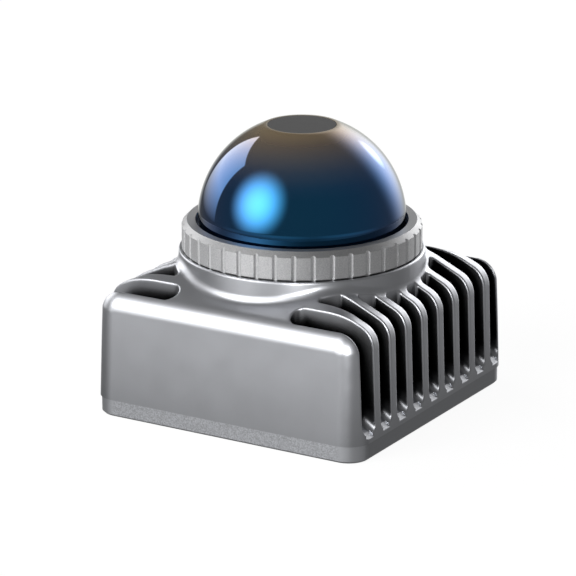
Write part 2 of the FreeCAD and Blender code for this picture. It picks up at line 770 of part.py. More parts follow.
def thermal_pad():
    """Soft pad that carries heat from the processor into the base plate."""
    return block((-PAD_HALF, PAD_HALF), (-PAD_HALF, PAD_HALF), (SPIGOT_TOP_Z, BOARD_Z - CHIP_THICK))


def interface_chip():
    """Interface chip on the top of the main board."""
    half = INTERFACE_CHIP_HALF
    return block((INTERFACE_CHIP_X - half, INTERFACE_CHIP_X + half), (-half, half),
                 (BOARD_TOP_Z, BOARD_TOP_Z + INTERFACE_CHIP_THICK))


def lens_barrel():
    """Barrel on the board's centre: lens seat at the top, a web across it and a side hole for the beam."""
    barrel = turned([
        (BARREL_BORE_R, BOARD_TOP_Z), (BARREL_R, BOARD_TOP_Z), (BARREL_R, BARREL_TOP_Z),
        (BARREL_SEAT_R, BARREL_TOP_Z), (BARREL_SEAT_R, BARREL_SEAT_Z), (BARREL_BORE_R, BARREL_SEAT_Z)])
    web = block((-BARREL_SEAT_R, BARREL_SEAT_R), (-WEB_HALF, WEB_HALF), (WEB_Z, WEB_Z + WEB_THICK))
    barrel = barrel.fuse(web)
    beam_hole = Part.makeCylinder(BEAM_HOLE_R, BARREL_R, V(FOLD_HALF, 0, BEAM_Z), RIGHT)
    return barrel.cut(beam_hole).removeSplitter()


def fold_mirror():
    """Small prism on the barrel's web that turns the laser beam upwards."""
    low = WEB_Z + WEB_THICK
    return slab([(-FOLD_HALF, low), (FOLD_HALF, low), (-FOLD_HALF, low + 2 * FOLD_HALF)], WEB_HALF)


def objective_lens():
    """Flat-backed lens in the top of the barrel."""
    radius = BARREL_SEAT_R - SLIP
    low = BARREL_SEAT_Z
    high = low + LENS_EDGE + LENS_RISE
    curve_r = (radius ** 2 + LENS_RISE ** 2) / (2 * LENS_RISE)
    half_angle = math.asin(radius / curve_r) / 2
    middle = V(curve_r * math.sin(half_angle), 0, high - curve_r * (1 - math.cos(half_angle)))
    corners = [V(0, 0, high), V(0, 0, low), V(radius, 0, low), V(radius, 0, low + LENS_EDGE)]
    edges = [line(a, b) for a, b in zip(corners, corners[1:])]
    edges.append(arc(corners[-1], middle, corners[0]))
    return Part.Face(Part.Wire(edges)).revolve(ORIGIN, UP, FULL_TURN)


def detector_chip():
    """Light detector on the board, at the foot of the barrel."""
    half = DETECTOR_HALF
    return block((-half, half), (-half, half), (BOARD_TOP_Z, BOARD_TOP_Z + DETECTOR_THICK))


def laser_module():
    """Laser block on the board with a nose that reaches into the barrel's side hole."""
    module = block((LASER_X, LASER_X + LASER_LENGTH), (-LASER_HALF, LASER_HALF), (BOARD_TOP_Z, LASER_TOP_Z))
    nose = Part.makeCylinder(LASER_NOSE_R, LASER_X - LASER_NOSE_X, V(LASER_NOSE_X, 0, BEAM_Z), RIGHT)
    return module.fuse(nose)


def optics_bench():
    """Round plate under the housing's shelf with the bearing tube of the scan motor."""
    lower_top = TUBE_Z + BEARING_WIDTH
    upper_foot = TUBE_TOP_Z - BEARING_WIDTH
    bench = turned([
        (BEARING_OUT_R, TUBE_Z), (TUBE_R, TUBE_Z), (TUBE_R, BENCH_Z), (BENCH_R, BENCH_Z), (BENCH_R, SHELF_Z),
        (TUBE_SEAT_R, SHELF_Z), (TUBE_SEAT_R, STATOR_Z), (TUBE_R, STATOR_Z), (TUBE_R, TUBE_TOP_Z),
        (BEARING_OUT_R, TUBE_TOP_Z), (BEARING_OUT_R, upper_foot), (TUBE_RELIEF_R, upper_foot),
        (TUBE_RELIEF_R, lower_top), (BEARING_OUT_R, lower_top)])
    hole = disc(BENCH_SCREW_R + SCREW_SLIP, BENCH_Z, SHELF_Z, BENCH_SCREW_RADIUS)
    wires = disc(WIRE_HOLE_R, BENCH_Z, SHELF_Z, 0, -WIRE_HOLE_Y)
    holes = around(hole, BENCH_SCREW_COUNT, BENCH_SCREW_START)
    return bench.cut(group(holes + [wires]))


def bench_screws():
    """Screws that hold the bench under the housing's shelf."""
    screw = disc(BENCH_SCREW_R, BENCH_Z, BENCH_SCREW_TIP_Z, BENCH_SCREW_RADIUS)
    head = disc(BENCH_SCREW_HEAD_R, BENCH_Z - BENCH_SCREW_HEAD, BENCH_Z, BENCH_SCREW_RADIUS)
    return group(around(screw.fuse(head), BENCH_SCREW_COUNT, BENCH_SCREW_START))


def bearing(low):
    """Thin ball bearing as one closed ring."""
    return tube(BEARING_OUT_R, BEARING_IN_R, low, low + BEARING_WIDTH)


def motor_stator():
    """Stack of motor sheets: hub with teeth and broad shoes."""
    top = STATOR_Z + STATOR_THICK
    half = TOOTH_WIDTH / 2
    tooth = block((TUBE_SEAT_R, STATOR_SHOE_R + half), (-half, half), (STATOR_Z, top))
    shoe = sector(STATOR_R, STATOR_SHOE_R, STATOR_Z, top, STATOR_SHOE_ANGLE)
    stack = disc(STATOR_HUB_R, STATOR_Z, top).fuse(around(tooth.fuse(shoe), TOOTH_COUNT))
    return stack.cut(disc(TUBE_R + SLIP, STATOR_Z, top)).removeSplitter()


def stator_coils():
    """One winding round each stator tooth."""
    half = TOOTH_WIDTH / 2
    top = STATOR_Z + STATOR_THICK
    reach = (COIL_IN_R, COIL_OUT_R)
    outer = half + COIL_BUILD
    coil = block(reach, (-outer, outer), (STATOR_Z - COIL_BUILD, top + COIL_BUILD))
    coil = coil.cut(block(reach, (-half, half), (STATOR_Z, top)))
    return group(around(coil, TOOTH_COUNT))


def rotor_shaft():
    """Hollow shaft with a collar that carries the mirror holder."""
    return turned([
        (SHAFT_BORE_R, SHAFT_Z), (SHAFT_R, SHAFT_Z), (SHAFT_R, SHAFT_COLLAR_Z),
        (SHAFT_COLLAR_R, SHAFT_COLLAR_Z), (SHAFT_COLLAR_R, SHAFT_TOP_Z), (SHAFT_BORE_R, SHAFT_TOP_Z)])


def rotor_bell():
    """Cup over the stator that carries the magnets, pressed on the shaft under its collar."""
    return turned([
        (SHAFT_R, BELL_HUB_Z), (BELL_HUB_R, BELL_HUB_Z), (BELL_HUB_R, BELL_ROOF_Z), (BELL_IN_R, BELL_ROOF_Z),
        (BELL_IN_R, BELL_Z), (BELL_R, BELL_Z), (BELL_R, SHAFT_COLLAR_Z), (SHAFT_R, SHAFT_COLLAR_Z)])


def rotor_magnets():
    """Curved magnets bonded to the inside of the bell."""
    magnet = sector(BELL_IN_R, MAGNET_IN_R, MAGNET_Z, MAGNET_TOP_Z, MAGNET_ANGLE)
    return group(around(magnet, MAGNET_COUNT))


def encoder_disc():
    """Code disc with its hub, pressed on the lower end of the shaft."""
    return turned([
        (SHAFT_R, ENCODER_Z), (ENCODER_R, ENCODER_Z), (ENCODER_R, ENCODER_Z + ENCODER_THICK),
        (ENCODER_HUB_R, ENCODER_Z + ENCODER_THICK), (ENCODER_HUB_R, ENCODER_HUB_TOP_Z),
        (SHAFT_R, ENCODER_HUB_TOP_Z)])


def encoder_reader():
    """Forked reader that hangs from the bench and straddles the code disc's rim."""
    return slab([
        (-READER_OUT_X, READER_Z), (-READER_IN_X, READER_Z), (-READER_IN_X, ENCODER_Z - READER_GAP),
        (-READER_JAW_X, ENCODER_Z - READER_GAP), (-READER_JAW_X, ENCODER_HUB_TOP_Z + READER_GAP),
        (-READER_IN_X - READER_HALF, ENCODER_HUB_TOP_Z + READER_GAP), (-READER_IN_X - READER_HALF, BENCH_Z),
        (-READER_OUT_X, BENCH_Z)], READER_HALF)


def mirror_line(offset):
    """Height of a line parallel to the mirror's face, behind it by an offset, at the upright axis."""
    return MIRROR_Z + offset * math.sqrt(2)


def scan_mirror():
    """Plane mirror at 45 degrees over the shaft's bore."""
    reach = MIRROR_HALF_LENGTH / math.sqrt(2)
    back = MIRROR_THICK / math.sqrt(2)
    return slab([
        (-reach, MIRROR_Z - reach), (reach, MIRROR_Z + reach),
        (reach - back, MIRROR_Z + reach + back), (-reach - back, MIRROR_Z - reach + back)], MIRROR_HALF_WIDTH)


def mirror_holder():
    """Round foot with two cheeks, a sloping back plate and a groove that seats the mirror's lower edge."""
    reach = MIRROR_HALF_LENGTH / math.sqrt(2)
    front = mirror_line(MIRROR_THICK)
    rear = mirror_line(MIRROR_THICK + HOLDER_BACK)
    crown_x = reach - (MIRROR_THICK + HOLDER_BACK) / math.sqrt(2)
    lip_x = reach - MIRROR_THICK / math.sqrt(2)
    outer_half = MIRROR_HALF_WIDTH + SLIP + HOLDER_CHEEK
    back = [(HOLDER_REAR_X, SHAFT_TOP_Z), (HOLDER_REAR_X, HOLDER_REAR_X + rear), (crown_x, crown_x + rear),
            (lip_x, lip_x + front), (HOLDER_TOP_Z - front, HOLDER_TOP_Z), (HOLDER_TOP_Z - front, SHAFT_TOP_Z)]
    cheek = [(HOLDER_REAR_X, SHAFT_TOP_Z), (HOLDER_REAR_X, HOLDER_REAR_X + rear), (crown_x, crown_x + rear),
             (reach, MIRROR_Z + reach), (HOLDER_TOE_X, HOLDER_TOP_Z), (HOLDER_TOE_X, SHAFT_TOP_Z)]
    inner = slab(cheek, MIRROR_HALF_WIDTH + SLIP)
    cheeks = slab(cheek, outer_half).cut(inner)
    foot = disc(HOLDER_R, SHAFT_TOP_Z, HOLDER_TOP_Z)
    holder = foot.fuse([cheeks, slab(back, outer_half)])
    bore = disc(SHAFT_BORE_R, SHAFT_TOP_Z, HOLDER_TOP_Z)
    return holder.cut([bore, scan_mirror()]).removeSplitter()


def balance_weight():
    """Curved weight on the holder's foot, opposite the mirror's back."""
    return sector(HOLDER_R, WEIGHT_IN_R, HOLDER_TOP_Z, WEIGHT_TOP_Z, WEIGHT_ANGLE)


PARTS = {
    "base_plate": base_plate,
    "base_seal": base_seal,
    "base_screws": base_screws,
    "housing": housing,
    "lock_ring": lock_ring,
    "dome_window": dome_window,
    "dome_seal": dome_seal,
    "dome_cap_disc": dome_cap_disc,
    "connector_shell": connector_shell,
    "connector_insert": connector_insert,
    "connector_pins": connector_pins,
    "connector_seal": connector_seal,
    "connector_nut": connector_nut,
    "connector_board": connector_board,
    "board_plug": board_plug,
    "main_board": main_board,
    "board_screws": board_screws,
    "main_chip": main_chip,
    "thermal_pad": thermal_pad,
    "interface_chip": interface_chip,
    "lens_barrel": lens_barrel,
    "fold_mirror": fold_mirror,
    "objective_lens": objective_lens,
    "detector_chip": detector_chip,
    "laser_module": laser_module,
    "optics_bench": optics_bench,
    "bench_screws": bench_screws,
    "lower_bearing": lambda: bearing(TUBE_Z),
    "upper_bearing": lambda: bearing(TUBE_TOP_Z - BEARING_WIDTH),
    "motor_stator": motor_stator,
    "stator_coils": stator_coils,
    "encoder_reader": encoder_reader,
    "rotor_shaft": rotor_shaft,
    "rotor_bell": rotor_bell,
    "rotor_magnets": rotor_magnets,
    "encoder_disc": encoder_disc,
    "mirror_holder": mirror_holder,
    "scan_mirror": scan_mirror,
    "balance_weight": balance_weight,
}


def main():
    """Builds every piece and writes it to its own file."""
    os.makedirs("parts", exist_ok=True)
    for name, make in PARTS.items():
        shape = make()
        if not shape.isValid():
            raise ValueError(f"{name} is not a valid solid")
        shape.exportStep(f"parts/{name}.step")
        print(name, len(shape.Solids), round(shape.Volume, 1))


main()
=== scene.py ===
"""Studio scene of a palm-sized dome lidar sensor: finishes, fine pieces, light and camera.

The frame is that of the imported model: +Z up, plain front face towards -Y. Lengths are in metres, apart from
the sizes of the turned pieces, which are in millimetres.
"""
import json
import logging
import math
from dataclasses import dataclass
from enum import Enum

import bmesh
import bpy
from mathutils import Matrix, Vector


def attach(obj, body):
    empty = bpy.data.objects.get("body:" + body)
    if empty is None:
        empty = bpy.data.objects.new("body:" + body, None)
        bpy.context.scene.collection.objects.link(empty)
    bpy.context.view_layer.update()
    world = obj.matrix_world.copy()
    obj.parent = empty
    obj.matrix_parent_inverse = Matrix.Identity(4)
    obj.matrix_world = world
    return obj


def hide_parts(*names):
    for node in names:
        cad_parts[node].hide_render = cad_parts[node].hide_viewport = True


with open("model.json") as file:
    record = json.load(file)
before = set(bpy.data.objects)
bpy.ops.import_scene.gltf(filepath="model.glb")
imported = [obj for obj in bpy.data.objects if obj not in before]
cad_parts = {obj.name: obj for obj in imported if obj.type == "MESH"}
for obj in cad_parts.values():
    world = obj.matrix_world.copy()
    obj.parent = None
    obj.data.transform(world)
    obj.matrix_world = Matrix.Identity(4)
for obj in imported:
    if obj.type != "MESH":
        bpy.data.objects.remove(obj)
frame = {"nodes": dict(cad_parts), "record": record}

log = logging.getLogger("lidar")

MM = 0.001
WELD = 0.0005 * MM
DOME_FOOT_MM = 41.7
DOME_TOP_MM = 60.0

Colour = tuple[float, float, float]
Pairs = tuple[tuple[float, float], ...]
Profile = list[tuple[float, float]]
Socket = bpy.types.NodeSocket

BLACK: Colour = (0.0, 0.0, 0.0)
WHITE: Colour = (1.0, 1.0, 1.0)


class Body(Enum):
    """The two rigid bodies of the sensor."""

    SENSOR = "sensor"
    SCAN_HEAD = "scan_head"


class Axis(Enum):
    """Axes that a turned piece can lie along."""

    UPRIGHT = "Z"
    REARWARD = "Y"


class Graph:
    """Short way to write a node tree."""

    # Numbers of the colour Mix node's sockets: factor, first colour and second colour, and the result.
    MIX_INPUTS = (0, 6, 7)
    MIX_RESULT = 2

    def __init__(self, tree: bpy.types.NodeTree) -> None:
        """Empties the tree.

        Args:
            tree: the node tree to fill.
        """
        self.tree = tree
        tree.nodes.clear()

    def add(self, kind: str, inputs: dict | None = None, **settings: object) -> bpy.types.Node:
        """Adds a node.

        Args:
            kind: node type after the common prefix, such as "TexNoise".
            inputs: values or sockets for the node's inputs, by name or number.
            settings: plain properties of the node.

        Returns:
            The new node.
        """
        node = self.tree.nodes.new("ShaderNode" + kind)
        for key, value in settings.items():
            setattr(node, key, value)
        for key, value in (inputs or {}).items():
            if isinstance(value, Socket):
                self.join(value, node, key)
            else:
                node.inputs[key].default_value = value
        return node

    def join(self, source: Socket, node: bpy.types.Node, key: str | int) -> None:
        """Links a socket to one of a node's inputs."""
        self.tree.links.new(source, node.inputs[key])

    def math(self, operation: str, *values: float | Socket, clamp: bool = False) -> Socket:
        """Adds a Math node.

        Args:
            operation: the node's operation.
            values: numbers or sockets, in order.
            clamp: whether the result is kept from 0 to 1.

        Returns:
            The result's socket.
        """
        node = self.add("Math", dict(enumerate(values)), operation=operation, use_clamp=clamp)
        return node.outputs[0]

    def fade(self, value: Socket, none_at: float, full_at: float) -> Socket:
        """Adds a straight fade that stays from 0 to 1.

        Args:
            value: what the fade follows.
            none_at: the value at which it is 0.
            full_at: the value at which it is 1.

        Returns:
            The fade's socket.
        """
        span = full_at - none_at
        return self.math("MULTIPLY_ADD", value, 1.0 / span, -none_at / span, clamp=True)

    def ramp(self, factor: Socket, stops: list[tuple[float, Colour]]) -> Socket:
        """Adds a colour ramp.

        Args:
            factor: where along the ramp to read.
            stops: positions and linear colours.

        Returns:
            The colour's socket.
        """
        node = self.add("ValToRGB", {"Fac": factor})
        elements = node.color_ramp.elements
        while len(elements) < len(stops):
            elements.new(1.0)
        for element, (position, colour) in zip(elements, stops):
            element.position = position
            element.color = (*colour, 1.0)
        return node.outputs["Color"]

    def mix(self, factor: float | Socket, low: Colour | Socket, high: Colour | Socket) -> Socket:
        """Adds a colour mix.

        Args:
            factor: share of the second colour.
            low: first colour.
            high: second colour.

        Returns:
            The mixed colour's socket.
        """
        colours = [value if isinstance(value, Socket) else (*value, 1.0) for value in (low, high)]
        inputs = dict(zip(self.MIX_INPUTS, (factor, *colours)))
        return self.add("Mix", inputs, data_type="RGBA").outputs[self.MIX_RESULT]

    def blend(self, share: Socket, first: Socket, second: Socket) -> Socket:
        """Mixes two shaders, by the second one's share."""
        return self.add("MixShader", {0: share, 1: first, 2: second}).outputs["Shader"]


@dataclass(frozen=True)
class Finish:
    """A surface with a base colour, a roughness and a fine grain, in plain Principled terms."""

    name: str
    colour: Colour
    roughness: float
    metallic: float = 0.0
    mottle: float = 0.06
    mottle_size: float = 4.0 * MM
    grain_size: float = 0.3 * MM
    grain_depth: float = 0.004 * MM

    def build(self) -> bpy.types.Material:
        """Makes the material.

        Returns:
            The finished material.
        """
        material = bpy.data.materials.new(self.name)
        material.use_nodes = True
        graph = Graph(material.node_tree)
        surface = self.surface(graph, graph.add("TexCoord").outputs["Object"])
        graph.add("OutputMaterial", {"Surface": surface})
        return material

    def surface(self, graph: Graph, place: Socket) -> Socket:
        """Makes the finish's shader.

        Args:
            graph: the material's nodes.
            place: object coordinates.

        Returns:
            The shader's socket.
        """
        shader = graph.add("BsdfPrincipled", {"Metallic": self.metallic})
        self.dress(graph, shader, place)
        return shader.outputs["BSDF"]

    def dress(self, graph: Graph, shader: bpy.types.Node, place: Socket) -> None:
        """Joins the finish's pattern to the shader.

        Args:
            graph: the material's nodes.
            shader: its Principled shader.
            place: object coordinates.
        """
        blotch = self.noise(graph, place, self.mottle_size)
        ground = graph.mix(blotch, self.toned(1.0 - self.mottle), self.toned(1.0 + self.mottle))
        graph.join(ground, shader, "Base Color")
        self.roughen(graph, shader, blotch)
        self.bump(graph, shader, self.noise(graph, place, self.grain_size))

    def toned(self, factor: float) -> Colour:
        """Gives the finish's colour made darker or lighter by a factor."""
        return tuple(min(1.0, channel * factor) for channel in self.colour)

    def noise(self, graph: Graph, place: Socket, size: float, detail: float = 2.0) -> Socket:
        """Adds a noise of a grain size in metres and returns its value."""
        inputs = {"Vector": place, "Scale": 1.0 / size, "Detail": detail}
        return graph.add("TexNoise", inputs).outputs["Fac"]

    def roughen(self, graph: Graph, shader: bpy.types.Node, pattern: Socket) -> None:
        """Lets the roughness swing by the mottle, along a pattern."""
        swing = graph.math("MULTIPLY_ADD", pattern, 2.0 * self.mottle, self.roughness - self.mottle)
        graph.join(swing, shader, "Roughness")

    def bump(self, graph: Graph, shader: bpy.types.Node, height: Socket) -> None:
        """Adds a bump of the grain's depth under the shader."""
        node = graph.add("Bump", {"Height": height, "Distance": self.grain_depth, "Strength": 1.0})
        graph.join(node.outputs["Normal"], shader, "Normal")


@dataclass(frozen=True)
class CastMetal(Finish):
    """Satin cast metal with softened edges and painted shade: an ambient occlusion node darkens its colour in
    the slots and recesses and a little towards the ground, but less so at the slots' foot.

    The painted shade levels pair how open a place is with the share of the colour that it keeps.
    """

    # Painted shade: how far the ambient occlusion looks, and the share of colour kept at each openness.
    painted_shade_reach: float = 22.0 * MM
    painted_shade_levels: Pairs = ((0.0, 0.0), (0.37, 0.02), (0.47, 0.2), (0.56, 0.66), (1.0, 1.0))
    edge_round: float = 0.6 * MM
    edge_from: float = 8.0 * MM
    edge_samples: int = 8
    # Near the foot the painted shade is held back, so the colour keeps at least the foot's least share.
    foot_low: float = 6.5 * MM
    foot_top: float = 10.5 * MM
    foot_least_share: float = 0.5

    def dress(self, graph: Graph, shader: bpy.types.Node, place: Socket) -> None:
        """Adds painted shade in the recesses, held back at the foot, and the soft edges above the foot to the
        plain satin ground.

        Args:
            graph: the material's nodes.
            shader: its Principled shader.
            place: object coordinates.
        """
        super().dress(graph, shader, place)
        ground = shader.inputs["Base Color"].links[0].from_socket
        # Painted shade in the colour: ambient occlusion darkens the slots, the recesses and the lower walls.
        open_share = graph.add("AmbientOcclusion", {"Distance": self.painted_shade_reach}).outputs["AO"]
        painted_shade = graph.ramp(open_share, [(position, (level,) * 3) for position, level in self.painted_shade_levels])
        height = graph.add("SeparateXYZ", {"Vector": place}).outputs["Z"]
        # Painted shade held back near the foot.
        foot = graph.fade(height, self.foot_top, self.foot_low)
        painted_shade = graph.math("MAXIMUM", painted_shade, graph.math("MULTIPLY", foot, self.foot_least_share))
        graph.join(graph.mix(painted_shade, BLACK, ground), shader, "Base Color")
        above = graph.math("GREATER_THAN", height, self.edge_from)
        reach = graph.math("MULTIPLY", above, self.edge_round)
        soft = graph.add("Bevel", {"Radius": reach}, samples=self.edge_samples).outputs["Normal"]
        graph.join(soft, shader.inputs["Normal"].links[0].from_node, "Normal")


@dataclass(frozen=True)
class BlastedMetal(Finish):
    """Metal blasted with grit: a speckle of light and dark grains over the satin ground.

    A part with a flat half-width has the speckle on its front and rear only, and painted shade off those
    flats, darkest where a face looks aside. A part with a top painted shade level below 1 has painted shade
    on its upward faces.
    """

    speckle: float = 0.2
    speckle_size: float = 0.22 * MM
    speckle_detail: float = 1.0
    speckle_middle: float = 0.5
    flat_half: float = 0.0
    flat_fade: float = 2.0 * MM
    flat_facing: float = 0.7
    # Painted shade off the flats: share of the colour kept where a face looks aside, and how fast it rises as
    # the face turns front or rear.
    flank_painted_shade_level: float = 0.62
    side_gain: float = 1.3
    # Painted shade on upward faces: share of the colour kept on the top, and where and how fast it sets in.
    top_painted_shade_level: float = 1.0
    top_from: float = 0.3
    top_gain: float = 3.0

    def dress(self, graph: Graph, shader: bpy.types.Node, place: Socket) -> None:
        """Adds the speckle and its relief, and painted shade on the flanks and the top where the part asks
        for it.

        Args:
            graph: the material's nodes.
            shader: its Principled shader.
            place: object coordinates.
        """
        grains = self.noise(graph, place, self.speckle_size, self.speckle_detail)
        relief = graph.math("SUBTRACT", grains, self.speckle_middle)
        ground = graph.mix(grains, self.toned(1.0 - self.speckle), self.toned(1.0 + self.speckle))
        normal = graph.add("NewGeometry").outputs["Normal"]
        facing = graph.add("SeparateXYZ", {"Vector": normal}).outputs
        if self.flat_half > 0.0:
            frontal = graph.math("ABSOLUTE", facing["Y"])
            flat = self.flat_mask(graph, place, frontal)
            relief = graph.math("MULTIPLY", relief, flat)
            # Painted shade: off the flats the colour darkens as the face turns aside.
            shade = graph.math("MULTIPLY_ADD", frontal, self.side_gain, self.flank_painted_shade_level, clamp=True)
            ground = graph.mix(flat, graph.mix(shade, BLACK, self.colour), ground)
        # Painted shade: upward faces darken towards the top painted shade level.
        if self.top_painted_shade_level < 1.0:
            start = -self.top_gain * self.top_from
            upward = graph.math("MULTIPLY_ADD", facing["Z"], self.top_gain, start, clamp=True)
            ground = graph.mix(graph.math("MULTIPLY", upward, 1.0 - self.top_painted_shade_level), ground, BLACK)
        graph.join(ground, shader, "Base Color")
        self.roughen(graph, shader, self.noise(graph, place, self.mottle_size))
        self.bump(graph, shader, relief)

    def flat_mask(self, graph: Graph, place: Socket, frontal: Socket) -> Socket:
        """Gives 1 on the flat front and rear of the part and 0 on its corners and flanks.

        Args:
            graph: the material's nodes.
            place: object coordinates.
            frontal: how squarely the surface faces the front or the rear.

        Returns:
            The mask's socket.
        """
        aside = graph.math("ABSOLUTE", graph.add("SeparateXYZ", {"Vector": place}).outputs["X"])
        inside = graph.fade(aside, self.flat_half, self.flat_half - self.flat_fade)
        return graph.math("MULTIPLY", inside, graph.math("GREATER_THAN", frontal, self.flat_facing))


@dataclass(frozen=True)
class CoatedGlass(Finish):
    """Dark dome with an interference coat: blue seen square on, lavender at the limb, and painted light at
    the
    crown: a warm tint that rises towards the top and stands for light shining through the glass.

    The crown's painted glow is the tint at each share of the way up from the fade's low end to its high end.
    """

    glass_index: float = 1.82
    coat_index: float = 2.69
    coat_nm: float = 117.0
    crown_nm: float = 84.0
    crown_share: float = 0.76
    crown_power: float = 2.85
    fade_low: float = 49.0 * MM
    fade_high: float = DOME_TOP_MM * MM
    foot_top: float = DOME_FOOT_MM * MM
    foot_fade: float = 0.3 * MM
    foot_share: float = 0.4
    # Painted light: a warm tint rising to the crown, standing for light shining through the glass.
    crown_painted_glow: tuple[tuple[float, Colour], ...] = (
        (0.2, (0.007, 0.007, 0.013)), (0.45, (0.036, 0.031, 0.027)), (0.66, (0.086, 0.070, 0.044)),
        (0.83, (0.130, 0.098, 0.053)), (0.97, (0.205, 0.155, 0.085)))

    def surface(self, graph: Graph, place: Socket) -> Socket:
        """Makes two coats over one tint, which carries painted light rising towards the crown, with the
        thinner coat towards the crown and a duller foot.

        Args:
            graph: the material's nodes.
            place: object coordinates.

        Returns:
            The mixed shader's socket.
        """
        height = graph.add("SeparateXYZ", {"Vector": place}).outputs["Z"]
        rise = graph.fade(height, self.fade_low, self.fade_high)
        # Painted light: the tint brightens to a warm brown towards the crown.
        tint_and_painted_glow = graph.ramp(rise, [(0.0, self.colour), *self.crown_painted_glow])
        share = graph.math("MULTIPLY", graph.math("POWER", rise, self.crown_power), self.crown_share)
        coats = [self.coat(graph, tint_and_painted_glow, thickness) for thickness in (self.coat_nm, self.crown_nm)]
        foot = graph.fade(height, self.foot_top, self.foot_top - self.foot_fade)
        dull = graph.add("BsdfDiffuse", {"Color": (*self.colour, 1.0)}).outputs["BSDF"]
        return graph.blend(graph.math("MULTIPLY", foot, self.foot_share), graph.blend(share, *coats), dull)

    def coat(self, graph: Graph, tint_and_painted_glow: Socket, thickness: float) -> Socket:
        """Makes the glass, coloured by the tint with its painted crown glow, under a coat of one thickness,
        in nanometres.
        """
        return graph.add("BsdfPrincipled", {
            "Base Color": tint_and_painted_glow, "Roughness": self.roughness, "IOR": self.glass_index,
            "Thin Film Thickness": thickness, "Thin Film IOR": self.coat_index}).outputs["BSDF"]


@dataclass(frozen=True)
class TurnedMetal(Finish):
    """Plated or bare metal with fine turning lines round an axis."""

    axis: Axis = Axis.UPRIGHT
    line_pitch: float = 0.08 * MM

    def dress(self, graph: Graph, shader: bpy.types.Node, place: Socket) -> None:
        """Adds turning lines: a noise that changes along the axis only.

        Args:
            graph: the material's nodes.
            shader: its Principled shader.
            place: object coordinates.
        """
        along = graph.add("SeparateXYZ", {"Vector": place}).outputs[self.axis.value]
        inputs = {"W": graph.math("DIVIDE", along, self.line_pitch), "Scale": 1.0}
        lines = graph.add("TexNoise", inputs, noise_dimensions="1D").outputs["Fac"]
        graph.join(graph.mix(lines, self.toned(1.0 - self.mottle), self.colour), shader, "Base Color")
        self.roughen(graph, shader, lines)
        self.bump(graph, shader, lines)


@dataclass(frozen=True)
class SolderMask(Finish):
    """Circuit board lacquer with lighter copper runs under it."""

    run_pitch: float = 1.3 * MM
    run_scatter: float = 0.35
    run_from: float = 0.42
    run_light: float = 1.9

    def dress(self, graph: Graph, shader: bpy.types.Node, place: Socket) -> None:
        """Adds the copper runs as a cell pattern under the lacquer.

        Args:
            graph: the material's nodes.
            shader: its Principled shader.
            place: object coordinates.
        """
        inputs = {"Vector": place, "Scale": 1.0 / self.run_pitch, "Randomness": self.run_scatter}
        cells = graph.add("TexVoronoi", inputs, distance="CHEBYCHEV", feature="F1").outputs["Distance"]
        runs = graph.math("GREATER_THAN", cells, self.run_from)
        graph.join(graph.mix(runs, self.colour, self.toned(self.run_light)), shader, "Base Color")
        shader.inputs["Roughness"].default_value = self.roughness
        self.bump(graph, shader, runs)


@dataclass(frozen=True)
class ClearGlass(Finish):
    """Coated lens glass that light goes through."""

    def dress(self, graph: Graph, shader: bpy.types.Node, place: Socket) -> None:
        """Sets the glass, with a faint polish pattern in its roughness.

        Args:
            graph: the material's nodes.
            shader: its Principled shader.
            place: object coordinates.
        """
        shader.inputs["Base Color"].default_value = (*self.colour, 1.0)
        shader.inputs["Transmission Weight"].default_value = 1.0
        polish = self.noise(graph, place, self.grain_size)
        graph.join(graph.math("MULTIPLY", polish, self.roughness), shader, "Roughness")


